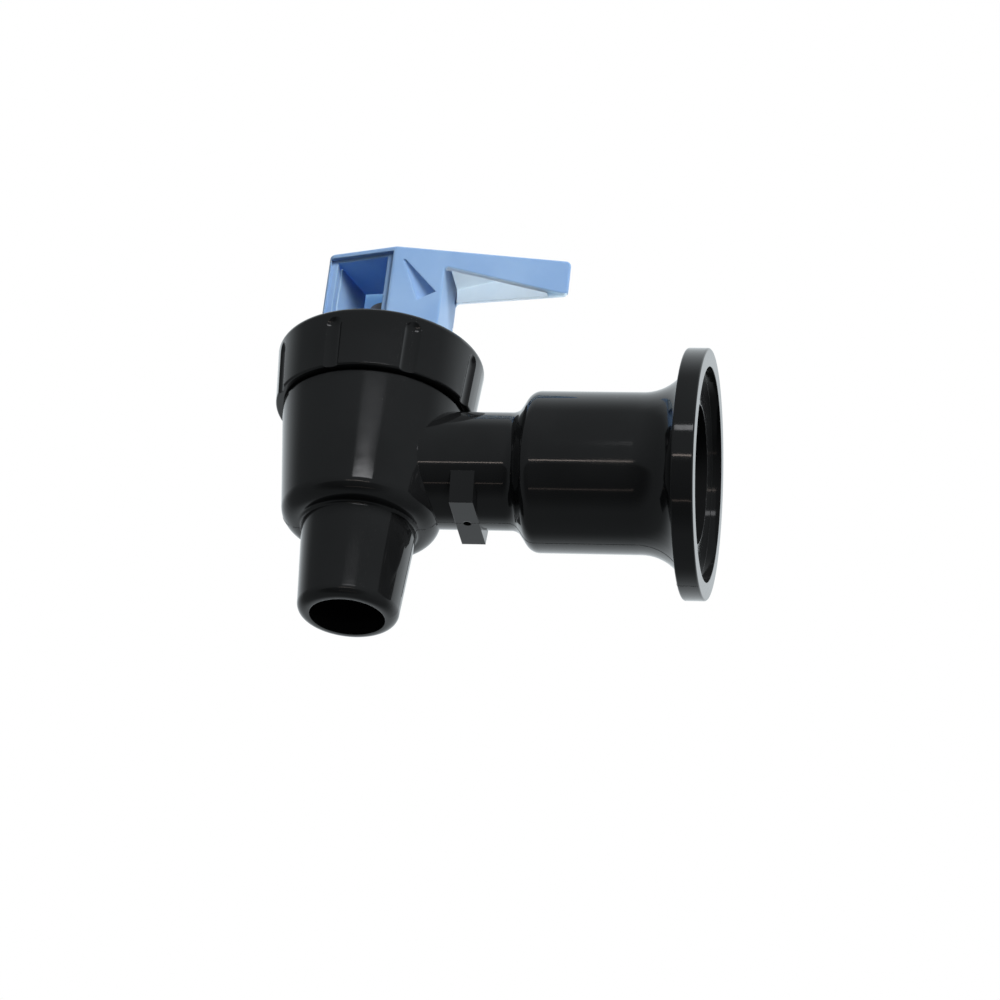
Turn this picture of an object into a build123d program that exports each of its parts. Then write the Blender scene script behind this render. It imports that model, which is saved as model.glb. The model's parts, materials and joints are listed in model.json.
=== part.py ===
from build123d import *
import os
from math import atan2, cos, degrees, radians, sin

# Water cooler faucet, in millimetres.
# The inlet axis is X and the wall flange's face is X = 0. The valve axis stands upright at X = valve_x.

# Inlet: wall flange, bell, shoulder and neck
valve_x = -60.6
flange_radius = 22.0
flange_thickness = 3.85
flange_edge_round = 0.35
flare_radius = 18.6
flare_end_x = -11.5
bell_radius = 14.2
shoulder_outer_x = -30.6
shoulder_inner_x = -33.2
shoulder_round = 2.4
neck_radius = 10.4
face_recess_radius = 18.8
face_recess_depth = 1.7
bell_bore_radius = 12.1
bell_bore_end_x = -27.5
thread_lip_radius = 9.2
thread_lip_x = -26.5
thread_bore_radius = 7.6
thread_bore_end_x = -41.0
washer_pocket_radius = 7.0
washer_pocket_end_x = -43.0
port_radius = 4.5

# Lug under the neck, wider where it meets the neck
lug_x = -41.5
lug_length = 4.2
lug_half_width = 7.5
lug_bottom_z = -10.55
lug_root_half_width = 9.1
lug_root_z = -5.0
gate_mark_radius = 0.7
gate_mark_depth = 0.5

# Valve barrel and spout
spout_bottom_z = -29.4
spout_tip_radius = 8.8
spout_tip_round = 1.8
spout_root_radius = 10.15
spout_root_round = 0.6
barrel_bottom_z = -12.0
barrel_bottom_radius = 13.75
barrel_bottom_round = 3.0
barrel_top_radius = 16.45
collar_top_z = 10.8
collar_round = 0.3
barrel_thread_radius = 15.4
barrel_rim_z = 19.5
barrel_bore_radius = 11.4
barrel_floor_z = -9.3
seat_z = -8.6
seat_outer_radius = 8.0
outlet_radius = 6.64

# Bonnet cap: a little narrower at its open end
cap_top_radius = 18.6
cap_bottom_radius = 17.7
cap_bottom_z = 11.1
cap_top_z = 22.3
cap_top_round = 1.0
cap_bottom_round = 0.4
cap_bore_radius = 15.75
flute_count = 8
flute_first_angle = 29.0
flute_radius = 2.4
flute_depth = 0.6
flute_high_z = 18.9

# Stem, seat cup, spring and washers
running_gap = 0.08
stem_radius = 3.5
stem_top_z = 33.0
stem_top_round = 0.6
stem_foot_radius = 2.8
stem_barb_radius = 4.0
stem_barb_top_z = -4.5
stem_foot_z = -6.5
stem_collar_radius = 8.5
stem_collar_bottom_z = 4.5
stem_collar_top_z = 6.3
cup_plug_radius = 8.8
cup_seat_gap = 0.1
cup_bottom_z = seat_z + cup_seat_gap
cup_waist_z = -1.5
cup_bore_gap = 0.05
cup_lip_radius = barrel_bore_radius - cup_bore_gap
cup_lip_bottom_z = 5.5
cup_lip_top_z = 8.6
cup_lip_inner_radius = 10.3
cup_floor_radius = 9.3
cup_gap = 0.03
cup_plug_round = 0.5
cup_waist_round = 1.0
cup_lip_round = 0.3
washer_thickness = 0.6
washer_outer_radius = 8.0
washer_gap = 0.05
spring_wire_radius = 0.5
spring_mean_radius = 6.2
spring_turns = 5.5
inlet_washer_inner_radius = 4.6
inlet_washer_outer_radius = 6.9

# Handle: a hub over the stem and a tapering lever, turned a little about the valve axis
lever_angle = -6.2
hub_front = -10.45
hub_shoulder = 3.0
hub_back = 11.0
hub_front_half_width = 6.9
hub_shoulder_half_width = 8.6
lever_tip = 33.1
lever_tip_half_width = 0.5
handle_gap = 0.3
handle_bottom_z = cap_top_z + handle_gap
handle_top_z = 41.4
lever_root_z = 37.75
lever_tip_z = 34.1
heel_round = 2.7
root_round = 0.6
tip_round = 0.9
front_round = 1.6
shoulder_edge_round = 0.5
top_round = 0.4
ceiling_z = 39.9
cavity_front_near = -8.6
cavity_front_far = -6.6
cavity_back = 5.6
cavity_wall = 1.9
cavity_back_near = -6.4
cavity_far = 4.6
window_back = 1.2
window_sill_z = 27.4
rabbet_front = -9.8
rabbet_back = 2.5
rabbet_depth = 0.9
rabbet_top_z = 40.4
core_front = 7.2
core_back = 9.4
core_half_width = 3.6
core_ceiling_z = 38.8
channel_wall = 0.9
channel_back = 29.5
channel_ceiling_z = 40.6
scoop_top = (4.6, 38.6)
scoop_bottom = (9.2, 31.3)
scoop_tip_radius = 0.2
scoop_radius = 1.95
pin_z = 25.5
pin_radius = 1.4
pin_gap = 0.02
pin_half_length = 7.9
pin_chamfer = 0.3

# Planes and axes. On the valve plane a point is (radius, height), on the side plane (along, height).
inlet_axis = Axis.X
valve_axis = Axis((valve_x, 0, 0), (0, 0, 1))
valve_plane = Plane(origin=(valve_x, 0, 0), x_dir=(1, 0, 0), z_dir=(0, -1, 0))
lever_direction = Vector(cos(radians(lever_angle)), sin(radians(lever_angle)), 0)
pin_direction = Vector(-lever_direction.Y, lever_direction.X, 0)
lever_plane = Plane(origin=(valve_x, 0, 0), x_dir=lever_direction, z_dir=(0, 0, 1))
side_plane = Plane(origin=(valve_x, 0, 0), x_dir=lever_direction, z_dir=-pin_direction)
beyond = 1.0


def lever_half_width(along):
    """Half the plan width of the tapering lever at a distance from the valve axis."""
    share = (along - hub_shoulder) / (lever_tip - hub_shoulder)
    return hub_shoulder_half_width + share * (lever_tip_half_width - hub_shoulder_half_width)


def hub_half_width(along):
    """Half the plan width of the hub in front of its shoulder."""
    share = (along - hub_front) / (hub_shoulder - hub_front)
    return hub_front_half_width + share * (hub_shoulder_half_width - hub_front_half_width)


def scoop_plane_on(side):
    """A plane at the scoop's narrow end on one cheek, looking down the scoop. side is -1 or 1."""
    ends = []
    for along, height in (scoop_top, scoop_bottom):
        ends.append(lever_plane.from_local_coords((along, side * lever_half_width(along), height)))
    return Plane(origin=ends[0], z_dir=ends[1] - ends[0])


port_end_x = valve_x + barrel_bore_radius / 2
cap_draft = degrees(atan2(cap_top_radius - cap_bottom_radius, cap_top_z - cap_bottom_z))
flute_centre_radius = (cap_top_radius + cap_bottom_radius) / 2 - flute_depth + flute_radius
flute_centre_z = (cap_top_z + cap_bottom_z) / 2
channel_back_half_width = lever_half_width(channel_back) - channel_wall
scoop_planes = [scoop_plane_on(-1), scoop_plane_on(1)]
scoop_length = Vector(*scoop_top).sub(Vector(*scoop_bottom)).length


# Faucet body: one moulding
with BuildPart() as faucet_body:
    with BuildSketch(Plane.XZ):
        with BuildLine():
            neck = FilletPolyline(
                (valve_x, neck_radius),
                (shoulder_inner_x, neck_radius),
                (shoulder_outer_x, bell_radius),
                (flare_end_x, bell_radius),
                radius=shoulder_round,
            )
            flare = TangentArc(neck @ 1, (-flange_thickness, flare_radius), tangent=(1, 0))
            flange = FilletPolyline(
                flare @ 1,
                (-flange_thickness, flange_radius),
                (0, flange_radius),
                (0, 0),
                radius=flange_edge_round,
            )
            Polyline(flange @ 1, (valve_x, 0), neck @ 0)
        make_face()
    revolve(axis=inlet_axis)

    with BuildSketch(valve_plane):
        with BuildLine():
            FilletPolyline(
                (0, spout_bottom_z),
                (spout_tip_radius, spout_bottom_z),
                (spout_root_radius, barrel_bottom_z),
                (barrel_bottom_radius, barrel_bottom_z),
                (barrel_top_radius, collar_top_z),
                (barrel_thread_radius, collar_top_z),
                (barrel_thread_radius, barrel_rim_z),
                (0, barrel_rim_z),
                radius=(0, spout_tip_round, spout_root_round, barrel_bottom_round, collar_round, 0, 0, 0),
                close=True,
            )
        make_face()
    revolve(axis=valve_axis)

    with BuildSketch(Plane.YZ.offset(lug_x - lug_length / 2)):
        with BuildLine():
            Polyline(
                (-lug_half_width, lug_bottom_z),
                (lug_half_width, lug_bottom_z),
                (lug_root_half_width, lug_root_z),
                (0, 0),
                (-lug_root_half_width, lug_root_z),
                close=True,
            )
        make_face()
    extrude(amount=lug_length)
    with Locations((lug_x, 0, lug_bottom_z)):
        Cylinder(gate_mark_radius, 2 * gate_mark_depth, mode=Mode.SUBTRACT)

    with BuildSketch(Plane.XZ):
        with BuildLine():
            Polyline(
                (beyond, 0),
                (beyond, face_recess_radius),
                (-face_recess_depth, face_recess_radius),
                (-face_recess_depth, bell_bore_radius),
                (bell_bore_end_x, bell_bore_radius),
                (bell_bore_end_x, thread_lip_radius),
                (thread_lip_x, thread_lip_radius),
                (thread_lip_x, thread_bore_radius),
                (thread_bore_end_x, thread_bore_radius),
                (thread_bore_end_x, washer_pocket_radius),
                (washer_pocket_end_x, washer_pocket_radius),
                (washer_pocket_end_x, port_radius),
                (port_end_x, port_radius),
                (port_end_x, 0),
                close=True,
            )
        make_face()
    revolve(axis=inlet_axis, mode=Mode.SUBTRACT)

    with BuildSketch(valve_plane):
        with BuildLine():
            Polyline(
                (0, barrel_rim_z + beyond),
                (barrel_bore_radius, barrel_rim_z + beyond),
                (barrel_bore_radius, barrel_floor_z),
                (seat_outer_radius, barrel_floor_z),
                (seat_outer_radius, seat_z),
                (outlet_radius, seat_z),
                (outlet_radius, spout_bottom_z - beyond),
                (0, spout_bottom_z - beyond),
                close=True,
            )
        make_face()
    revolve(axis=valve_axis, mode=Mode.SUBTRACT)

# Flute: the round-topped roller whose side dents the bonnet cap
with BuildPart() as flute_roller:
    with BuildSketch(Plane.XZ):
        with BuildLine():
            FilletPolyline(
                (0, cap_bottom_z - flute_centre_z - beyond),
                (flute_radius, cap_bottom_z - flute_centre_z - beyond),
                (flute_radius, flute_high_z - flute_centre_z + flute_radius),
                (0, flute_high_z - flute_centre_z + flute_radius),
                radius=(0, 0, flute_radius, 0),
                close=True,
            )
        make_face()
    revolve(axis=Axis.Z)

# Bonnet cap: a fluted cup with a hole for the stem
with BuildPart() as bonnet_cap:
    with BuildSketch(valve_plane):
        with BuildLine():
            FilletPolyline(
                (stem_radius + running_gap, cap_top_z),
                (cap_top_radius, cap_top_z),
                (cap_bottom_radius, cap_bottom_z),
                (cap_bore_radius, cap_bottom_z),
                (cap_bore_radius, barrel_rim_z),
                (stem_radius + running_gap, barrel_rim_z),
                radius=(0, cap_top_round, cap_bottom_round, 0, 0, 0),
                close=True,
            )
        make_face()
    revolve(axis=valve_axis)
    with Locations((valve_x, 0, flute_centre_z)):
        with PolarLocations(flute_centre_radius, flute_count, flute_first_angle):
            add(flute_roller.part, rotation=(0, cap_draft, 0), mode=Mode.SUBTRACT)

# Valve stem: barbed foot, spring collar, shaft and cross hole for the pin
with BuildPart() as valve_stem:
    with BuildSketch(valve_plane):
        with BuildLine():
            FilletPolyline(
                (0, stem_foot_z),
                (stem_foot_radius, stem_foot_z),
                (stem_barb_radius, stem_barb_top_z),
                (stem_foot_radius, stem_barb_top_z),
                (stem_foot_radius, stem_collar_bottom_z),
                (stem_collar_radius, stem_collar_bottom_z),
                (stem_collar_radius, stem_collar_top_z),
                (stem_radius, stem_collar_top_z),
                (stem_radius, stem_top_z),
                (0, stem_top_z),
                radius=(0, 0, 0, 0, 0, 0, 0, 0, stem_top_round, 0),
                close=True,
            )
        make_face()
    revolve(axis=valve_axis)
    with BuildSketch(side_plane):
        with Locations((0, pin_z)):
            Circle(pin_radius + running_gap)
    extrude(amount=2 * stem_radius, both=True, mode=Mode.SUBTRACT)

# Seat cup: a plug that closes the outlet, with a lip that wipes the barrel
with BuildPart() as seat_cup:
    with BuildSketch(valve_plane):
        with BuildLine():
            FilletPolyline(
                (0, cup_bottom_z),
                (cup_plug_radius, cup_bottom_z),
                (cup_plug_radius, cup_waist_z),
                (cup_lip_radius, cup_lip_bottom_z),
                (cup_lip_radius, cup_lip_top_z),
                (cup_lip_inner_radius, cup_lip_top_z),
                (cup_floor_radius, stem_collar_bottom_z - cup_gap),
                (stem_foot_radius + cup_gap, stem_collar_bottom_z - cup_gap),
                (stem_foot_radius + cup_gap, stem_barb_top_z + cup_gap),
                (stem_barb_radius + cup_gap, stem_barb_top_z + cup_gap),
                (stem_foot_radius + cup_gap, stem_foot_z - cup_gap),
                (0, stem_foot_z - cup_gap),
                radius=(0, cup_plug_round, cup_waist_round, 0, cup_lip_round, 0, cup_lip_round) + (0,) * 5,
                close=True,
            )
        make_face()
    revolve(axis=valve_axis)

# Spring washer under the bonnet, and the return spring below it
washer_bottom_z = barrel_rim_z - washer_gap - washer_thickness
with BuildPart() as spring_washer:
    with BuildSketch(Plane.XY.offset(washer_bottom_z)):
        with Locations((valve_x, 0)):
            Circle(washer_outer_radius)
            Circle(stem_radius + running_gap, mode=Mode.SUBTRACT)
    extrude(amount=washer_thickness)

coil_low_z = stem_collar_top_z + washer_gap + spring_wire_radius
coil_high_z = washer_bottom_z - washer_gap - spring_wire_radius
coil_height = coil_high_z - coil_low_z
with BuildPart() as return_spring:
    with BuildLine(Plane(origin=(valve_x, 0, coil_low_z))) as coil:
        Helix(coil_height / spring_turns, coil_height, spring_mean_radius)
    with BuildSketch(coil.line ^ 0):
        Circle(spring_wire_radius)
    sweep()

# Inlet washer at the bottom of the threaded socket
with BuildPart() as inlet_washer:
    with BuildSketch(Plane.YZ.offset(washer_pocket_end_x)):
        Circle(inlet_washer_outer_radius)
        Circle(inlet_washer_inner_radius, mode=Mode.SUBTRACT)
    extrude(amount=thread_bore_end_x - washer_pocket_end_x)

# Handle: the plan outline and the side outline meet in one moulding, which is then cored
with BuildPart() as handle:
    with BuildSketch(lever_plane.offset(handle_bottom_z)):
        with BuildLine():
            FilletPolyline(
                (hub_front, -hub_front_half_width),
                (hub_shoulder, -hub_shoulder_half_width),
                (lever_tip + beyond, -lever_half_width(lever_tip + beyond)),
                (lever_tip + beyond, lever_half_width(lever_tip + beyond)),
                (hub_shoulder, hub_shoulder_half_width),
                (hub_front, hub_front_half_width),
                radius=(front_round, shoulder_edge_round, 0, 0, shoulder_edge_round, front_round),
                close=True,
            )
        make_face()
    extrude(amount=handle_top_z - handle_bottom_z)
    with BuildSketch(valve_plane):
        with BuildLine():
            FilletPolyline(
                (hub_front - beyond, handle_bottom_z),
                (hub_back, handle_bottom_z),
                (hub_back, lever_root_z),
                (lever_tip, lever_tip_z),
                (lever_tip, handle_top_z),
                (hub_front - beyond, handle_top_z),
                radius=(0, heel_round, root_round, tip_round, tip_round, 0),
                close=True,
            )
        make_face()
    extrude(amount=2 * hub_shoulder_half_width, both=True, mode=Mode.INTERSECT)

    # Cavity over the stem, open below, and the rabbeted window in the near cheek
    with BuildSketch(lever_plane.offset(ceiling_z)):
        with BuildLine():
            Polyline(
                (cavity_front_near, cavity_wall - hub_half_width(cavity_front_near)),
                (cavity_back, cavity_back_near),
                (cavity_back, cavity_far),
                (cavity_front_far, cavity_far),
                close=True,
            )
        make_face()
    extrude(amount=handle_bottom_z - ceiling_z - beyond, mode=Mode.SUBTRACT)
    with BuildSketch(lever_plane.offset(ceiling_z)):
        with BuildLine():
            Polyline(
                (cavity_front_near, cavity_wall - hub_half_width(cavity_front_near) + beyond),
                (cavity_front_near, -hub_shoulder_half_width - beyond),
                (window_back, -hub_shoulder_half_width - beyond),
                (window_back, cavity_wall - hub_half_width(window_back) + beyond),
                close=True,
            )
        make_face()
    extrude(amount=window_sill_z - ceiling_z, mode=Mode.SUBTRACT)
    with BuildSketch(lever_plane.offset(rabbet_top_z)):
        with BuildLine():
            Polyline(
                (rabbet_front, rabbet_depth - hub_half_width(rabbet_front)),
                (rabbet_front, -hub_shoulder_half_width - beyond),
                (rabbet_back, -hub_shoulder_half_width - beyond),
                (rabbet_back, rabbet_depth - hub_half_width(rabbet_back)),
                close=True,
            )
        make_face()
    extrude(amount=window_sill_z - rabbet_top_z, mode=Mode.SUBTRACT)

    # Core behind the cavity and the channel under the lever
    with BuildSketch(lever_plane.offset(core_ceiling_z)):
        with Locations(((core_front + core_back) / 2, 0)):
            Rectangle(core_back - core_front, 2 * core_half_width)
    extrude(amount=handle_bottom_z - core_ceiling_z - beyond, mode=Mode.SUBTRACT)
    with BuildSketch(lever_plane.offset(channel_ceiling_z)):
        with BuildLine():
            Polyline(
                (hub_shoulder, channel_wall - hub_shoulder_half_width),
                (channel_back, -channel_back_half_width),
                (channel_back, channel_back_half_width),
                (hub_shoulder, hub_shoulder_half_width - channel_wall),
                close=True,
            )
        make_face()
        with Locations(lever_plane.to_local_coords(Vector(valve_x + hub_back, 0, 0))):
            Rectangle(
                lever_tip,
                2 * hub_shoulder_half_width,
                rotation=-lever_angle,
                align=(Align.MIN, Align.CENTER),
                mode=Mode.INTERSECT,
            )
    extrude(amount=handle_bottom_z - channel_ceiling_z, mode=Mode.SUBTRACT)

    # Conical scoop in each cheek, and the pin hole
    for scoop_plane in scoop_planes:
        with Locations(scoop_plane):
            Cone(
                scoop_tip_radius,
                scoop_radius,
                scoop_length,
                align=(Align.CENTER, Align.CENTER, Align.MIN),
                mode=Mode.SUBTRACT,
            )
    with BuildSketch(side_plane):
        with Locations((0, pin_z)):
            Circle(pin_radius)
    extrude(amount=2 * hub_shoulder_half_width, both=True, mode=Mode.SUBTRACT)

    # Rounded upper edges along the hub's front and the lever's two sides
    top_face = handle.faces().filter_by(Plane.XY).sort_by(Axis.Z)[-1]
    tip_edge = top_face.edges().sort_by(Axis(valve_axis.position, lever_direction))[-1]
    fillet(top_face.edges() - [tip_edge], top_round)

# Handle pin through both cheeks and the stem
with BuildPart() as handle_pin:
    with BuildSketch(side_plane):
        with Locations((0, pin_z)):
            Circle(pin_radius - pin_gap)
    extrude(amount=pin_half_length, both=True)
    chamfer(handle_pin.edges(), pin_chamfer)

pieces = {
    "faucet_body": faucet_body,
    "bonnet_cap": bonnet_cap,
    "valve_stem": valve_stem,
    "seat_cup": seat_cup,
    "spring_washer": spring_washer,
    "return_spring": return_spring,
    "inlet_washer": inlet_washer,
    "handle": handle,
    "handle_pin": handle_pin,
}
os.makedirs("parts", exist_ok=True)
for name, piece in pieces.items():
    piece.part.label = name
    export_step(piece.part, f"parts/{name}.step")
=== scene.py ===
"""Looks for a push-lever water cooler faucet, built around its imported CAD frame. Lengths are in metres."""

import json
import math
from typing import NamedTuple

import bmesh
import bpy
from bpy.props import FloatProperty, FloatVectorProperty, IntProperty, PointerProperty
from bpy.types import NodeSocket, Operator, Panel, PropertyGroup
from mathutils import Matrix, Vector


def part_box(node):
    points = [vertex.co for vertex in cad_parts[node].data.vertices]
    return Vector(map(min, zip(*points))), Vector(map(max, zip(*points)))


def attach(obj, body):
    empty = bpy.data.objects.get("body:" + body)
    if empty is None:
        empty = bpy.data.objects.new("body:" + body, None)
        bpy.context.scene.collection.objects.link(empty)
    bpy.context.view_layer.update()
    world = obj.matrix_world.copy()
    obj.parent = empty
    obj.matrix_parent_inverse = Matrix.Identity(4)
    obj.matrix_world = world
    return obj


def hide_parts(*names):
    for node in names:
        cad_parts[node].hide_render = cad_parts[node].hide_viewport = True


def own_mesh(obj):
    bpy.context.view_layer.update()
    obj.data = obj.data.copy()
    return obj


bl_info = {
    "name": "Water Cooler Faucet",
    "version": (1, 0, 0),
    "blender": (4, 5, 0),
    "location": "View3D > Sidebar > Faucet",
    "description": "Finishes and fine mouldings for a push-lever water cooler faucet",
    "category": "Object",
}

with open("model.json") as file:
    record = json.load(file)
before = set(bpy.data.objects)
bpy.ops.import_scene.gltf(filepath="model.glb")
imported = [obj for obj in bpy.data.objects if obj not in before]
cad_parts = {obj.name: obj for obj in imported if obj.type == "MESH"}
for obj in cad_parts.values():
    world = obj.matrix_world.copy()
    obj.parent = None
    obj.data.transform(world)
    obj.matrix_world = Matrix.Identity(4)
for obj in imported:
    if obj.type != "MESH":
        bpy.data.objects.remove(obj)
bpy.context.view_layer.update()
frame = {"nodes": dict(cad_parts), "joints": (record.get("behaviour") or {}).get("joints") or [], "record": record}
MOUNTS = {mount["name"]: mount for mount in frame["record"]["mounts"]}
JOINTS = {joint["name"]: joint for joint in frame["joints"]}
VALVE_X = JOINTS["handle_swivel"]["pos_m"][0]
SPRING_LOW, SPRING_HIGH = (corner.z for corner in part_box("return_spring"))
SOCKET_RADIUS = MOUNTS["inlet_thread"]["dims"]["r_mm"] / 1000
PIN_AXIS = Vector(JOINTS["handle_tilt"]["axis"])
UPRIGHT = Vector((0.0, 0.0, 1.0))

# The body's outer skin, for the mould seam: how far it lies from the valve axis and from the inlet axis
BARREL_REACH = 0.0165
BARREL_SKIN = 0.0125
BARREL_TOP = 0.0105
BARREL_FOOT = -0.0118
SPOUT_SKIN = 0.0082
NECK_REACH = 0.0103
NECK_SKIN = 0.0100
BELL_SKIN = 0.0135
BELL_START = -0.0310
FLANGE_FACE = -0.0002
FLANGE_RECESS = -0.0018
FLANGE_SKIN = 0.0210
MERGE_DISTANCE = 1e-7

# Finishes of the handle's faces, as material slots; the thin-wall slot also paints a paler blue as a painted glow
SOLID_WALL, THIN_WALL_PAINTED_GLOW, HOLLOW_WALL = range(3)


def length(name, description, default):
    """A length property in metres."""
    return FloatProperty(
        name=name,
        description=description,
        default=default,
        min=0.0,
        precision=5,
        subtype="DISTANCE",
        unit="LENGTH",
    )


def place(name, description, default):
    """A position property in metres, along one axis."""
    return FloatProperty(
        name=name, description=description, default=default, precision=5, subtype="DISTANCE", unit="LENGTH"
    )


def share(name, description, default):
    """A property between nothing and all."""
    return FloatProperty(
        name=name, description=description, default=default, min=0.0, max=1.0, subtype="FACTOR"
    )


def colour(name, description, default):
    """A linear colour property."""
    return FloatVectorProperty(
        name=name, description=description, default=default, size=3, min=0.0, max=1.0, subtype="COLOR"
    )


def angle(name, description, degrees):
    """An angle property, with its default given in degrees."""
    return FloatProperty(
        name=name, description=description, default=math.radians(degrees), subtype="ANGLE", unit="ROTATION"
    )


class BlackMouldingSettings(PropertyGroup):
    """The gloss black of the body and the bonnet cap."""

    deep: colour("Deep black", "Darkest tone of the plastic", (0.0088, 0.0092, 0.0096))
    worn: colour("Worn black", "Tone where the gloss is dulled", (0.0112, 0.0117, 0.0122))
    dust: colour("Dust", "Tone of the few dust specks", (0.10, 0.10, 0.10))
    gloss: share("Gloss roughness", "Roughness where the mould was polished", 0.05)
    dull: share("Dull roughness", "Roughness where the surface is handled", 0.11)
    peel: length("Peel height", "Height of the moulded surface's slow waves", 0.000004)
    edge: length("Edge softness", "Radius that light sees on sharp edges", 0.00018)


class InletThreadSettings(PropertyGroup):
    """The thread inside the inlet socket."""

    root_radius: length("Root radius", "Radius of the socket's wall", SOCKET_RADIUS)
    depth: length("Depth", "Height of the thread above the wall", 0.00055)
    pitch: length("Pitch", "Advance in one turn", 0.0015875)
    crest: length("Crest width", "Width of the thread's flat crest", 0.00022)
    base: length("Base width", "Width of the thread where it meets the wall", 0.00088)
    outer_x: place("Outer end", "Where the thread starts, near the mouth", -0.0273)
    inner_x: place("Inner end", "Where the thread runs out, near the washer", -0.0404)
    steps: IntProperty(name="Steps", description="Segments in one turn", default=96, min=12)


class MouldSeamSettings(PropertyGroup):
    """The fine raised line where the two halves of the mould met."""

    height: length("Height", "How far the line stands proud", 0.00005)
    lowest_z: place("Lowest point", "The line stops above the spout's rounded lip", -0.0274)


class HandleSettings(PropertyGroup):
    """The sky-blue lever."""

    light: colour("Light blue", "Lighter tone of the plastic", (0.300, 0.462, 0.715))
    deep: colour("Deep blue", "Deeper tone of the plastic", (0.262, 0.420, 0.680))
    # The two thin-wall blues are paler than the plastic. They are a painted glow that stands in for light shining
    # through the thin walls onto the lever's underside and the cavity's far wall.
    painted_glow_light: colour("Light thin blue", "Lighter tone of the lever's thin walls", (0.380, 0.560, 0.850))
    painted_glow_deep: colour("Deep thin blue", "Deeper tone of the lever's thin walls", (0.345, 0.525, 0.820))
    smooth: share("Smooth roughness", "Roughness on the polished side", 0.34)
    satin: share("Satin roughness", "Roughness on the satin side", 0.46)
    grain: length("Grain height", "Height of the moulded satin grain", 0.0000025)
    edge: length("Edge softness", "Radius that light sees on sharp edges", 0.00030)
    glow: share("Glow", "Share of light that passes into thick walls", 0.45)
    reach: length("Reach", "How far light goes into thick walls", 0.0008)
    thin_glow: share("Thin glow", "Share of light that passes through the lever's thin walls", 0.95)
    thin_reach: length("Thin reach", "How far light goes in the lever's thin walls", 0.009)
    hollow_reach: length("Hollow reach", "How far light goes in the hub's hollow walls", 0.0032)
    channel_width: length("Channel width", "Half width of the channel, run on to the valve axis", 0.00870)
    channel_length: length("Channel length", "Where the channel's two sides would meet", 0.03200)
    channel_start: length("Channel start", "Where the channel leaves the hub", 0.01120)
    channel_top: length("Channel top", "Just above the channel's ceiling", 0.04070)
    hollow_width: length("Hollow width", "Half width of the hub's cavity", 0.0066)
    hollow_front: place("Hollow front", "Front of the hub's cavity, from the valve axis", -0.0088)
    hollow_back: place("Hollow back", "Back of the hub's cavity, from the valve axis", 0.0058)
    hollow_top: length("Hollow top", "Just above the cavity's ceiling", 0.0400)


class ReturnSpringSettings(PropertyGroup):
    """The coil that closes the valve."""

    wire_radius: length("Wire radius", "Half the wire's thickness", 0.0005)
    mean_radius: length("Coil radius", "From the valve axis to the wire's centre", 0.0062)
    active_turns: FloatProperty(
        name="Active turns", description="Open turns of the coil", default=4.5, min=1.0
    )
    closed_turns: FloatProperty(
        name="Closed turns", description="Flat turns at each end", default=1.0, min=0.0
    )
    steps: IntProperty(name="Steps", description="Segments in one turn", default=48, min=12)
    sides: IntProperty(name="Sides", description="Sides of the round wire", default=14, min=6)


class InnerPartSettings(PropertyGroup):
    """The stem, the seals and the hardware."""

    acetal: colour("Stem", "Grey-brown of the valve stem", (0.205, 0.190, 0.180))
    silicone: colour("Seat cup", "Milky white of the seat cup", (0.780, 0.780, 0.740))
    steel: colour("Steel", "Tone of the pin and the spring wire", (0.620, 0.620, 0.630))
    nylon: colour("Spring washer", "White of the spring washer", (0.820, 0.810, 0.780))
    rubber: colour("Inlet washer", "Black of the inlet washer", (0.030, 0.030, 0.031))


class StageSettings(PropertyGroup):
    """The camera, the floor and the white surround."""

    azimuth: angle("Azimuth", "Camera's turn about the vertical, from the front", 11.702)
    elevation: angle("Elevation", "Camera's height angle, below the horizon if negative", -28.797)
    roll: angle("Roll", "Camera's turn about its own line of sight", 6.651)
    distance: length("Distance", "Camera to target", 0.63815)
    target_x: place("Target X", "Point at the picture's centre, along the inlet axis", -0.036198)
    target_z: place("Target Z", "Point at the picture's centre, along the valve axis", -0.005731)
    lens: FloatProperty(
        name="Lens", description="Focal length in millimetres", default=131.62, subtype="DISTANCE_CAMERA"
    )
    floor_z: place("Floor", "Height of the floor below the faucet", -0.70)
    floor_size: length("Floor size", "Side of the square floor", 12.0)
    floor_colour: colour("Floor colour", "Pale floor", (0.90, 0.90, 0.90))
    floor_glow: share("Floor glow", "Glow that keeps the floor white to the eye", 0.60)
    daylight: colour("Daylight", "Cool tint of the surround's light", (0.90, 0.965, 1.0))
    surround: share("Surround", "Soft light from the white ground behind the faucet", 1.0)
    room_azimuth: angle("Room azimuth", "Middle of the dimmer side, a little left of the camera", -6.0)
    room: share("Room", "Dimmer light from the camera's side", 0.21)
    gap: share("Gap", "Light from below the upper tube, where the camera stands", 0.05)


class Lamp(NamedTuple):
    """An area lamp that faces the faucet. Angles are in degrees, as for the camera."""

    name: str
    azimuth: float
    elevation: float
    distance: float
    width: float
    height: float
    watts: float
    tint: tuple
    in_gloss: bool


LAMPS = (
    Lamp("upper_tube", 2.0, -12.7, 1.00, 0.560, 0.016, 0.17, (1.0, 0.86, 0.78), True),
    Lamp("lower_tube", 2.0, -53.0, 0.80, 0.450, 0.012, 0.02, (1.0, 0.80, 0.70), True),
    Lamp("high_window", 7.5, 13.05, 1.00, 0.460, 0.085, 0.52, (0.96, 0.97, 1.0), True),
    Lamp("soft_key", 33.0, 30.0, 1.00, 0.400, 0.400, 10.00, (1.0, 1.0, 1.0), False),
    Lamp("ground_glow", 145.0, 5.0, 1.00, 0.800, 0.800, 7.50, (1.0, 1.0, 1.0), False),
)


def fresh_material(name):
    """A new material and its shader node."""
    material = bpy.data.materials.new(name)
    material.use_nodes = True
    return material, material.node_tree.nodes["Principled BSDF"]


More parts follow.
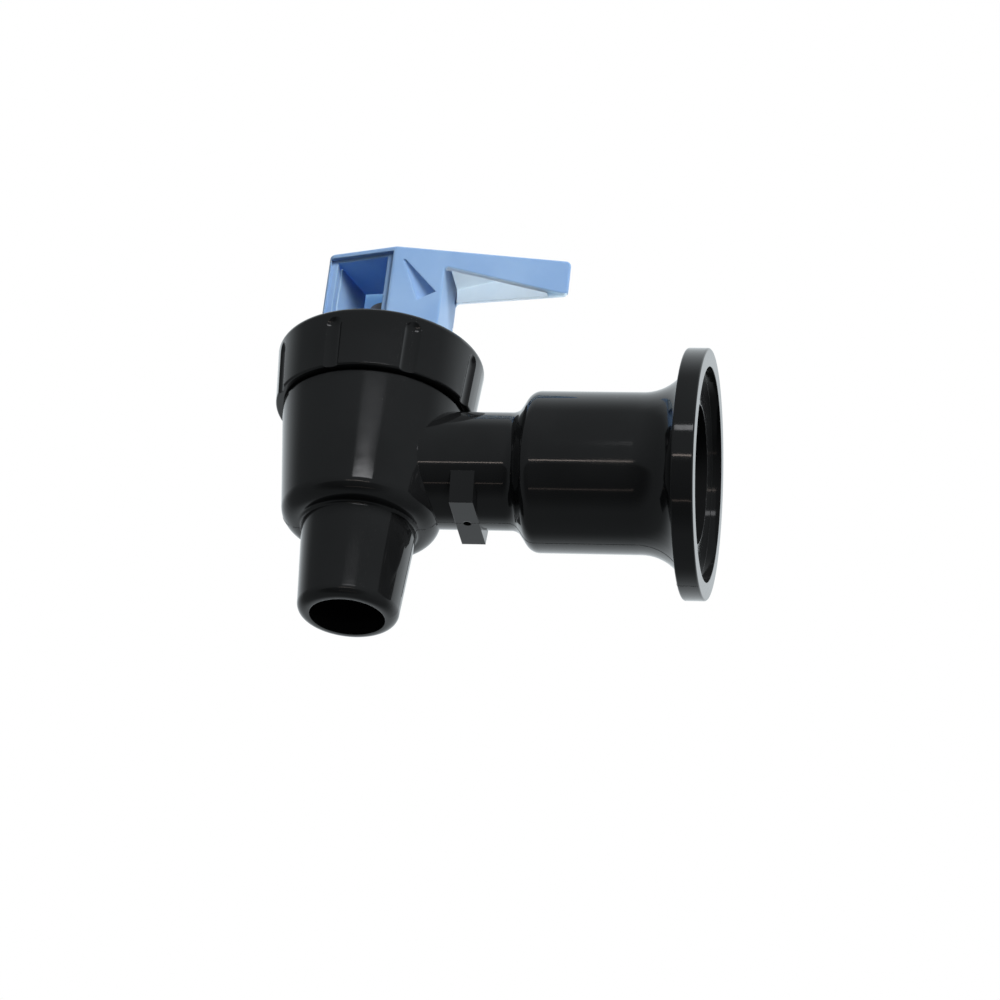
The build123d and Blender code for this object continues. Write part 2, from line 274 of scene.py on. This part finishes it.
def add_node(tree, kind, inputs=(), **settings):
    """A node with its settings made and its inputs set or linked."""
    node = tree.nodes.new(kind)
    for key, value in settings.items():
        setattr(node, key, value)
    for key, value in dict(inputs).items():
        if isinstance(value, NodeSocket):
            tree.links.new(value, node.inputs[key])
        else:
            node.inputs[key].default_value = value
    return node


def object_coords(tree):
    """Coordinates that ride with the piece, in metres."""
    return add_node(tree, "ShaderNodeTexCoord").outputs["Object"]


def noise(tree, coords, scale, detail=2.0):
    """Cloudy pattern, with scale in features per metre."""
    node = add_node(tree, "ShaderNodeTexNoise", {"Vector": coords, "Scale": scale, "Detail": detail})
    return node.outputs["Fac"]


def stretched(tree, coords, scale):
    """Coordinates scaled by a different amount on each axis."""
    return add_node(tree, "ShaderNodeMapping", {"Vector": coords, "Scale": scale}).outputs["Vector"]


def remap(tree, value, low, high, start=0.35, end=0.65):
    """The value's middle range, spread between low and high."""
    inputs = {"Value": value, "From Min": start, "From Max": end, "To Min": low, "To Max": high}
    return add_node(tree, "ShaderNodeMapRange", inputs, interpolation_type="SMOOTHSTEP").outputs["Result"]


def blend(tree, factor, first, second):
    """A colour between two others, either of them a colour or a socket."""
    node = add_node(tree, "ShaderNodeMix", data_type="RGBA")
    tree.links.new(factor, node.inputs[0])
    for socket, value in ((node.inputs[6], first), (node.inputs[7], second)):
        if isinstance(value, NodeSocket):
            tree.links.new(value, socket)
        else:
            socket.default_value = (*value, 1.0)
    return node.outputs[2]


def product(tree, first, second):
    """Two values multiplied."""
    node = add_node(tree, "ShaderNodeMath", {0: first, 1: second}, operation="MULTIPLY")
    return node.outputs["Value"]


def soft_edges(tree, radius):
    """A normal that rounds sharp edges where light meets them."""
    return add_node(tree, "ShaderNodeBevel", {"Radius": radius}, samples=6).outputs["Normal"]


def relief(tree, height, distance, normal=None):
    """A normal from a height pattern."""
    inputs = {"Height": height, "Distance": distance, "Strength": 1.0}
    if normal is not None:
        inputs["Normal"] = normal
    return add_node(tree, "ShaderNodeBump", inputs).outputs["Normal"]


def black_moulding_material(settings):
    """Polished black plastic with a slow moulded wave, dulled patches and a few specks of dust."""
    material, shader = fresh_material("black_moulding")
    tree = material.node_tree
    coords = object_coords(tree)
    wear = noise(tree, coords, 70.0, 4.0)
    plastic = blend(tree, remap(tree, wear, 0.0, 1.0), settings.deep, settings.worn)
    specks = add_node(tree, "ShaderNodeTexVoronoi", {"Vector": coords, "Scale": 520.0})
    near_speck = remap(tree, specks.outputs["Distance"], 1.0, 0.0, start=0.03, end=0.06)
    draw = add_node(tree, "ShaderNodeSeparateColor", {"Color": specks.outputs["Color"]}).outputs[0]
    picked = remap(tree, draw, 0.0, 0.7, start=0.93, end=0.94)
    dusty = product(tree, near_speck, picked)
    tree.links.new(blend(tree, dusty, plastic, settings.dust), shader.inputs["Base Color"])
    rough = remap(tree, noise(tree, coords, 38.0, 5.0), settings.gloss, settings.dull)
    tree.links.new(rough, shader.inputs["Roughness"])
    peel = relief(tree, noise(tree, coords, 420.0, 1.0), settings.peel, soft_edges(tree, settings.edge))
    tree.links.new(peel, shader.inputs["Normal"])
    shader.inputs["IOR"].default_value = 1.49
    return material


def sky_blue_material(name, settings, tones, glow, reach):
    """Satin plastic between two blues with a fine grain, which lets some light through over a reach."""
    material, shader = fresh_material(name)
    tree = material.node_tree
    coords = object_coords(tree)
    tone = remap(tree, noise(tree, coords, 110.0, 4.0), 0.0, 1.0)
    tree.links.new(blend(tree, tone, *tones), shader.inputs["Base Color"])
    rough = remap(tree, noise(tree, coords, 60.0, 3.0), settings.smooth, settings.satin)
    tree.links.new(rough, shader.inputs["Roughness"])
    grain = relief(tree, noise(tree, coords, 3600.0, 2.0), settings.grain, soft_edges(tree, settings.edge))
    tree.links.new(grain, shader.inputs["Normal"])
    shader.inputs["Specular IOR Level"].default_value = 0.22
    shader.inputs["Subsurface Weight"].default_value = glow
    shader.inputs["Subsurface Radius"].default_value = (reach, reach, reach)
    shader.inputs["Subsurface Scale"].default_value = 1.0
    return material


def turned_material(name, tone, rings, rough, metallic=0.0):
    """A turned or drawn surface: fine rings round the valve axis over a cloudy tone."""
    material, shader = fresh_material(name)
    tree = material.node_tree
    coords = object_coords(tree)
    cloud = remap(tree, noise(tree, coords, 240.0, 4.0), 0.0, 1.0)
    darker = tuple(0.86 * channel for channel in tone)
    tree.links.new(blend(tree, cloud, darker, tone), shader.inputs["Base Color"])
    sheen = remap(tree, noise(tree, coords, 900.0, 3.0), 0.75 * rough, 1.2 * rough)
    tree.links.new(sheen, shader.inputs["Roughness"])
    streaks = noise(tree, stretched(tree, coords, (rings / 40, rings / 40, rings)), 1.0, 3.0)
    tree.links.new(relief(tree, streaks, 0.000003), shader.inputs["Normal"])
    shader.inputs["Metallic"].default_value = metallic
    return material


def moulded_material(name, tone, rough, grain_height):
    """A soft or matte moulded part with a fine grain."""
    material, shader = fresh_material(name)
    tree = material.node_tree
    coords = object_coords(tree)
    cloud = remap(tree, noise(tree, coords, 180.0, 5.0), 0.0, 1.0)
    darker = tuple(0.85 * channel for channel in tone)
    tree.links.new(blend(tree, cloud, darker, tone), shader.inputs["Base Color"])
    sheen = remap(tree, noise(tree, coords, 320.0, 3.0), 0.8 * rough, 1.15 * rough)
    tree.links.new(sheen, shader.inputs["Roughness"])
    tree.links.new(relief(tree, noise(tree, coords, 2600.0, 3.0), grain_height), shader.inputs["Normal"])
    return material, shader


def finish_node(node, *materials):
    """The CAD node keeps its shape and takes the materials."""
    mesh = frame["nodes"][node].data
    mesh.materials.clear()
    for material in materials:
        mesh.materials.append(material)


def add_piece(name, data, body, material):
    """A new piece on a CAD body, with the given finish."""
    data.materials.append(material)
    piece = bpy.data.objects.new(name, data)
    bpy.context.scene.collection.objects.link(piece)
    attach(piece, body)
    return piece


def swept_mesh(name, rings, sharp_degrees):
    """A closed tube through rings of points that all have the same count."""
    shape = bmesh.new()
    loops = [[shape.verts.new(point) for point in ring] for ring in rings]
    count = len(loops[0])
    for first, second in zip(loops, loops[1:]):
        for side in range(count):
            after = (side + 1) % count
            shape.faces.new((first[side], first[after], second[after], second[side]))
    shape.faces.new(reversed(loops[0]))
    shape.faces.new(loops[-1])
    bmesh.ops.recalc_face_normals(shape, faces=shape.faces)
    mesh = bpy.data.meshes.new(name)
    shape.to_mesh(mesh)
    shape.free()
    mesh.shade_smooth()
    mesh.set_sharp_from_angle(angle=math.radians(sharp_degrees))
    return mesh


class FAUCET_OT_black_mouldings(Operator):
    """Finish the body and the bonnet cap in gloss black plastic"""

    bl_idname = "faucet.black_mouldings"
    bl_label = "Body and Bonnet Cap"

    def execute(self, context):
        material = black_moulding_material(context.scene.faucet_black)
        finish_node("faucet_body", material)
        finish_node("bonnet_cap", material)
        return {"FINISHED"}


class FAUCET_OT_inlet_thread(Operator):
    """Wind the thread inside the inlet socket"""

    bl_idname = "faucet.inlet_thread"
    bl_label = "Inlet Thread"

    def execute(self, context):
        settings = context.scene.faucet_thread
        turns = (settings.outer_x - settings.inner_x) / settings.pitch
        steps = round(turns * settings.steps)
        run_out = settings.steps / 3
        embed = settings.depth / 10
        rings = []
        for step in range(steps + 1):
            turn = 2 * math.pi * step / settings.steps
            middle = settings.outer_x - settings.pitch * step / settings.steps
            rise = settings.depth * min(1.0, (step + 1) / run_out, (steps + 1 - step) / run_out)
            profile = (
                (-settings.base / 2, settings.root_radius + embed),
                (-settings.crest / 2, settings.root_radius - rise),
                (settings.crest / 2, settings.root_radius - rise),
                (settings.base / 2, settings.root_radius + embed),
            )
            rings.append(
                [(middle + along, out * math.cos(turn), out * math.sin(turn)) for along, out in profile]
            )
        mesh = swept_mesh("inlet_thread", rings, 25.0)
        add_piece("inlet_thread", mesh, "body", bpy.data.materials["black_moulding"])
        return {"FINISHED"}


class FAUCET_OT_mould_seam(Operator):
    """Draw the fine line left on the body where the two halves of the mould met"""

    bl_idname = "faucet.mould_seam"
    bl_label = "Mould Seam"

    def execute(self, context):
        settings = context.scene.faucet_seam
        body = frame["nodes"]["faucet_body"].data
        shape = bmesh.new()
        shape.from_mesh(body)
        bmesh.ops.remove_doubles(shape, verts=shape.verts, dist=MERGE_DISTANCE)
        everything = [*shape.verts, *shape.edges, *shape.faces]
        cut = bmesh.ops.bisect_plane(
            shape, geom=everything, plane_co=(0, 0, 0), plane_no=(0, 1, 0), dist=MERGE_DISTANCE
        )
        line = [part for part in cut["geom_cut"] if isinstance(part, bmesh.types.BMEdge)]
        points, runs = {}, []
        for edge in line:
            if all(self.on_outside(vert.co, settings) for vert in edge.verts):
                runs.append([points.setdefault(vert, len(points)) for vert in edge.verts])
        mesh = bpy.data.meshes.new("mould_seam")
        mesh.from_pydata([tuple(vert.co) for vert in points], runs, [])
        shape.free()
        seam = bpy.data.objects.new("mould_seam", mesh)
        context.scene.collection.objects.link(seam)
        bpy.ops.object.select_all(action="DESELECT")
        seam.select_set(True)
        context.view_layer.objects.active = seam
        bpy.ops.object.convert(target="CURVE")
        data = seam.data
        data.bevel_depth = settings.height
        data.bevel_resolution = 1
        data.materials.append(bpy.data.materials["black_moulding"])
        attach(seam, "body")
        return {"FINISHED"}

    @staticmethod
    def on_outside(point, settings):
        """True on the outer skin of the body, away from the bores and the lip."""
        from_valve = abs(point.x - VALVE_X)
        from_inlet = abs(point.z)
        if from_valve < BARREL_REACH and (point.x < VALVE_X or from_inlet > NECK_REACH):
            skin = SPOUT_SKIN if point.z < BARREL_FOOT else BARREL_SKIN
            return settings.lowest_z < point.z < BARREL_TOP and from_valve > skin
        skin = BELL_SKIN if point.x > BELL_START else NECK_SKIN
        in_recess = point.x > FLANGE_RECESS and from_inlet < FLANGE_SKIN
        return point.x < FLANGE_FACE and from_inlet > skin and not in_recess


class FAUCET_OT_handle(Operator):
    """Finish the lever in sky-blue plastic"""

    bl_idname = "faucet.handle"
    bl_label = "Handle"

    def execute(self, context):
        settings = context.scene.faucet_handle
        tones = (settings.deep, settings.light)
        painted_glow_tones = (settings.painted_glow_deep, settings.painted_glow_light)
        glow, thin_glow = settings.glow, settings.thin_glow
        finish_node(
            "handle",
            sky_blue_material("sky_blue_moulding", settings, tones, glow, settings.reach),
            # The thin-wall slot has a real long reach for light, and its paler blues add a painted glow where
            # light comes through.
            sky_blue_material("sky_blue_thin_wall_painted_glow", settings, painted_glow_tones, thin_glow, settings.thin_reach),
            sky_blue_material("sky_blue_hollow", settings, tones, thin_glow, settings.hollow_reach),
        )
        handle = frame["nodes"]["handle"]
        for face in handle.data.polygons:
            face.material_index = self.wall(handle.matrix_world @ face.center, face.normal, settings)
        return {"FINISHED"}

    @staticmethod
    def wall(point, normal, settings):
        """Thin, with a painted paler glow, in the lever's channel, on its lower edges and on the cavity's far wall
        that faces the window; hollow elsewhere in the hub's cavity; or else solid.
        """
        from_valve = point - Vector((VALVE_X, 0.0, 0.0))
        across = abs(from_valve.dot(PIN_AXIS))
        along = from_valve.dot(PIN_AXIS.cross(UPRIGHT))
        under_lever = from_valve.x > settings.channel_start and point.z < settings.channel_top
        in_channel = across < settings.channel_width * (1.0 - from_valve.x / settings.channel_length)
        faces_down = normal.z < -0.5
        # Painted glow: the channel and the lever's downward faces take the paler thin-wall blue, which stands in
        # for light shining through them.
        if under_lever and (in_channel or faces_down):
            return THIN_WALL_PAINTED_GLOW
        in_plan = across < settings.hollow_width and settings.hollow_front < along < settings.hollow_back
        if in_plan and point.z < settings.hollow_top:
            # Painted glow: the cavity's far wall, facing the window, takes the paler thin-wall blue as if it were
            # lit through the wall.
            far_wall_painted_glow = normal.y < -0.9
            return THIN_WALL_PAINTED_GLOW if far_wall_painted_glow else HOLLOW_WALL
        return SOLID_WALL


class FAUCET_OT_inner_parts(Operator):
    """Finish the stem, the seals, the washers and the pin"""

    bl_idname = "faucet.inner_parts"
    bl_label = "Stem, Seals and Pin"

    def execute(self, context):
        settings = context.scene.faucet_inner
        finish_node("valve_stem", turned_material("stem_acetal", settings.acetal, 4000.0, 0.42))
        finish_node("handle_pin", turned_material("pin_steel", settings.steel, 2600.0, 0.28, metallic=1.0))
        silicone, shader = moulded_material("seat_silicone", settings.silicone, 0.45, 0.000002)
        shader.inputs["Subsurface Weight"].default_value = 0.6
        shader.inputs["Subsurface Radius"].default_value = (0.0020, 0.0018, 0.0015)
        shader.inputs["Subsurface Scale"].default_value = 1.0
        finish_node("seat_cup", silicone)
        finish_node("spring_washer", moulded_material("washer_nylon", settings.nylon, 0.5, 0.000003)[0])
        finish_node("inlet_washer", moulded_material("inlet_rubber", settings.rubber, 0.62, 0.000006)[0])
        return {"FINISHED"}


class FAUCET_OT_return_spring(Operator):
    """Wind the return spring with flat ground ends, in place of its plain coil"""

    bl_idname = "faucet.return_spring"
    bl_label = "Return Spring"

    def execute(self, context):
        settings = context.scene.faucet_spring
        wire = settings.wire_radius
        ground = wire / 4
        low, high = SPRING_LOW + ground, SPRING_HIGH - ground
        closed_rise = 2 * wire * settings.closed_turns
        turns = settings.active_turns + 2 * settings.closed_turns
        steps = round(turns * settings.steps)
        rings = []
        for step in range(steps + 1):
            wound = step / settings.steps
            active = min(max(wound - settings.closed_turns, 0.0), settings.active_turns)
            opened = active / settings.active_turns
            closed = wound - opened * settings.active_turns
            height = low + 2 * wire * closed + opened * (high - low - 2 * closed_rise)
            turn = 2 * math.pi * wound
            out = Vector((math.cos(turn), math.sin(turn), 0.0))
            middle = Vector((VALVE_X, 0.0, height)) + settings.mean_radius * out
            ring = []
            for side in range(settings.sides):
                around = 2 * math.pi * side / settings.sides
                point = middle + wire * (math.cos(around) * out + math.sin(around) * UPRIGHT)
                point.z = min(max(point.z, SPRING_LOW), SPRING_HIGH)
                ring.append(point)
            rings.append(ring)
        steel = turned_material("spring_steel", context.scene.faucet_inner.steel, 1800.0, 0.25, metallic=1.0)
        coil = swept_mesh("wound_return_spring", rings, 60.0)
        spring = add_piece("wound_return_spring", coil, "turret", steel)
        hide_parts("return_spring")
        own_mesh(spring)
        return {"FINISHED"}


class FAUCET_OT_stage(Operator):
    """Set up the white surround, the pale floor, the lamps and the camera"""

    bl_idname = "faucet.stage"
    bl_label = "Stage"

    def execute(self, context):
        settings = context.scene.faucet_stage
        target = Vector((settings.target_x, 0.0, settings.target_z))
        context.scene.view_settings.view_transform = "Standard"
        back = self.direction(settings.azimuth, settings.elevation)
        self.add_surround(context, settings, self.direction(settings.room_azimuth, settings.elevation))
        self.add_floor(context, settings)
        for lamp in LAMPS:
            self.add_lamp(context, lamp, target)
        self.add_camera(context, settings, target, back)
        return {"FINISHED"}

    @staticmethod
    def direction(azimuth, elevation):
        """Unit vector from the faucet towards an azimuth and an elevation."""
        level = math.cos(elevation)
        return Vector((math.sin(azimuth) * level, -math.cos(azimuth) * level, math.sin(elevation)))

    @staticmethod
    def add_surround(context, settings, room):
        """White to the eye, bright behind the faucet, and a dimmer room on the camera's side."""
        world = bpy.data.worlds.new("white_surround")
        world.use_nodes = True
        context.scene.world = world
        tree = world.node_tree
        toward = add_node(tree, "ShaderNodeTexCoord").outputs["Generated"]
        turned = add_node(tree, "ShaderNodeVectorMath", {0: toward, 1: room}, operation="DOT_PRODUCT")
        facing = turned.outputs["Value"]
        height = add_node(tree, "ShaderNodeSeparateXYZ", {"Vector": toward}).outputs["Z"]
        under = remap(tree, height, 1.0, 0.0, start=-0.32, end=-0.22)
        toward_camera = remap(tree, facing, 0.0, 1.0, start=0.50, end=0.90)
        between = product(tree, under, toward_camera)
        dim = add_node(tree, "ShaderNodeMix", {0: between, 2: settings.room, 3: settings.gap}).outputs[0]
        reflected = remap(tree, facing, settings.surround, dim, start=-0.85, end=-0.05)
        path = add_node(tree, "ShaderNodeLightPath").outputs
        rays = {0: path["Is Camera Ray"], 1: path["Is Transmission Ray"]}
        shown = add_node(tree, "ShaderNodeMath", rays, operation="MAXIMUM").outputs["Value"]
        level = add_node(tree, "ShaderNodeMix", {0: shown, 2: reflected, 3: 1.0}).outputs[0]
        tint = blend(tree, shown, settings.daylight, (1.0, 1.0, 1.0))
        background = tree.nodes["Background"]
        tree.links.new(tint, background.inputs["Color"])
        tree.links.new(level, background.inputs["Strength"])

    @staticmethod
    def add_floor(context, settings):
        """A pale floor that stays white to the eye and keeps a shadow."""
        half = settings.floor_size / 2
        mesh = bpy.data.meshes.new("floor")
        corners = [(-half, -half), (half, -half), (half, half), (-half, half)]
        mesh.from_pydata([(x, y, settings.floor_z) for x, y in corners], [], [(0, 1, 2, 3)])
        material, shader = fresh_material("pale_floor")
        tree = material.node_tree
        cloud = remap(tree, noise(tree, object_coords(tree), 3.0, 2.0), 0.0, 1.0)
        darker = tuple(0.98 * channel for channel in settings.floor_colour)
        tree.links.new(blend(tree, cloud, darker, settings.floor_colour), shader.inputs["Base Color"])
        seen = add_node(tree, "ShaderNodeLightPath").outputs["Is Camera Ray"]
        tree.links.new(seen, shader.inputs["Emission Strength"])
        shader.inputs["Emission Color"].default_value = (*[settings.floor_glow] * 3, 1.0)
        shader.inputs["Roughness"].default_value = 0.9
        mesh.materials.append(material)
        floor = bpy.data.objects.new("floor", mesh)
        floor.visible_glossy = False
        floor.visible_diffuse = False
        context.scene.collection.objects.link(floor)

    def add_lamp(self, context, lamp, target):
        """One area lamp, unseen by the camera."""
        data = bpy.data.lights.new(lamp.name, "AREA")
        data.shape = "RECTANGLE"
        data.size, data.size_y = lamp.width, lamp.height
        data.energy = lamp.watts
        data.color = lamp.tint
        toward = self.direction(math.radians(lamp.azimuth), math.radians(lamp.elevation))
        light = bpy.data.objects.new(lamp.name, data)
        light.location = target + lamp.distance * toward
        light.rotation_mode = "QUATERNION"
        light.rotation_quaternion = (-toward).to_track_quat("-Z", "Y")
        light.visible_camera = False
        light.visible_glossy = lamp.in_gloss
        context.scene.collection.objects.link(light)

    @staticmethod
    def add_camera(context, settings, target, back):
        """The camera at the photograph's angle."""
        level = Vector((math.cos(settings.azimuth), math.sin(settings.azimuth), 0.0))
        upright = back.cross(level)
        right = math.cos(settings.roll) * level + math.sin(settings.roll) * upright
        up = math.cos(settings.roll) * upright - math.sin(settings.roll) * level
        data = bpy.data.cameras.new("camera")
        data.sensor_width = 36.0
        data.lens = settings.lens
        data.clip_start, data.clip_end = 0.01, 100.0
        camera = bpy.data.objects.new("camera", data)
        turn = Matrix((right, up, back)).transposed().to_4x4()
        camera.matrix_world = Matrix.Translation(target + settings.distance * back) @ turn
        context.scene.collection.objects.link(camera)
        context.scene.camera = camera


SETTINGS = {
    "faucet_black": BlackMouldingSettings,
    "faucet_thread": InletThreadSettings,
    "faucet_seam": MouldSeamSettings,
    "faucet_handle": HandleSettings,
    "faucet_inner": InnerPartSettings,
    "faucet_spring": ReturnSpringSettings,
    "faucet_stage": StageSettings,
}
STEPS = (
    FAUCET_OT_black_mouldings,
    FAUCET_OT_inlet_thread,
    FAUCET_OT_mould_seam,
    FAUCET_OT_handle,
    FAUCET_OT_inner_parts,
    FAUCET_OT_return_spring,
    FAUCET_OT_stage,
)


class FAUCET_PT_panel(Panel):
    """The faucet's steps, in the order they run"""

    bl_idname = "FAUCET_PT_panel"
    bl_label = "Water Cooler Faucet"
    bl_space_type = "VIEW_3D"
    bl_region_type = "UI"
    bl_category = "Faucet"

    def draw(self, context):
        for step in STEPS:
            self.layout.operator(step.bl_idname)


def register():
    """Register the classes and hang their settings on the scene."""
    for name, group in SETTINGS.items():
        bpy.utils.register_class(group)
        setattr(bpy.types.Scene, name, PointerProperty(type=group))
    for kind in (*STEPS, FAUCET_PT_panel):
        bpy.utils.register_class(kind)


def unregister():
    """Take the settings and the classes away again."""
    for kind in (FAUCET_PT_panel, *reversed(STEPS)):
        bpy.utils.unregister_class(kind)
    for name, group in reversed(SETTINGS.items()):
        delattr(bpy.types.Scene, name)
        bpy.utils.unregister_class(group)


def main():
    """Build the looks in order."""
    register()
    bpy.ops.faucet.black_mouldings()
    bpy.ops.faucet.inlet_thread()
    bpy.ops.faucet.mould_seam()
    bpy.ops.faucet.handle()
    bpy.ops.faucet.inner_parts()
    bpy.ops.faucet.return_spring()
    bpy.ops.faucet.stage()


if __name__ == "__main__":
    main()
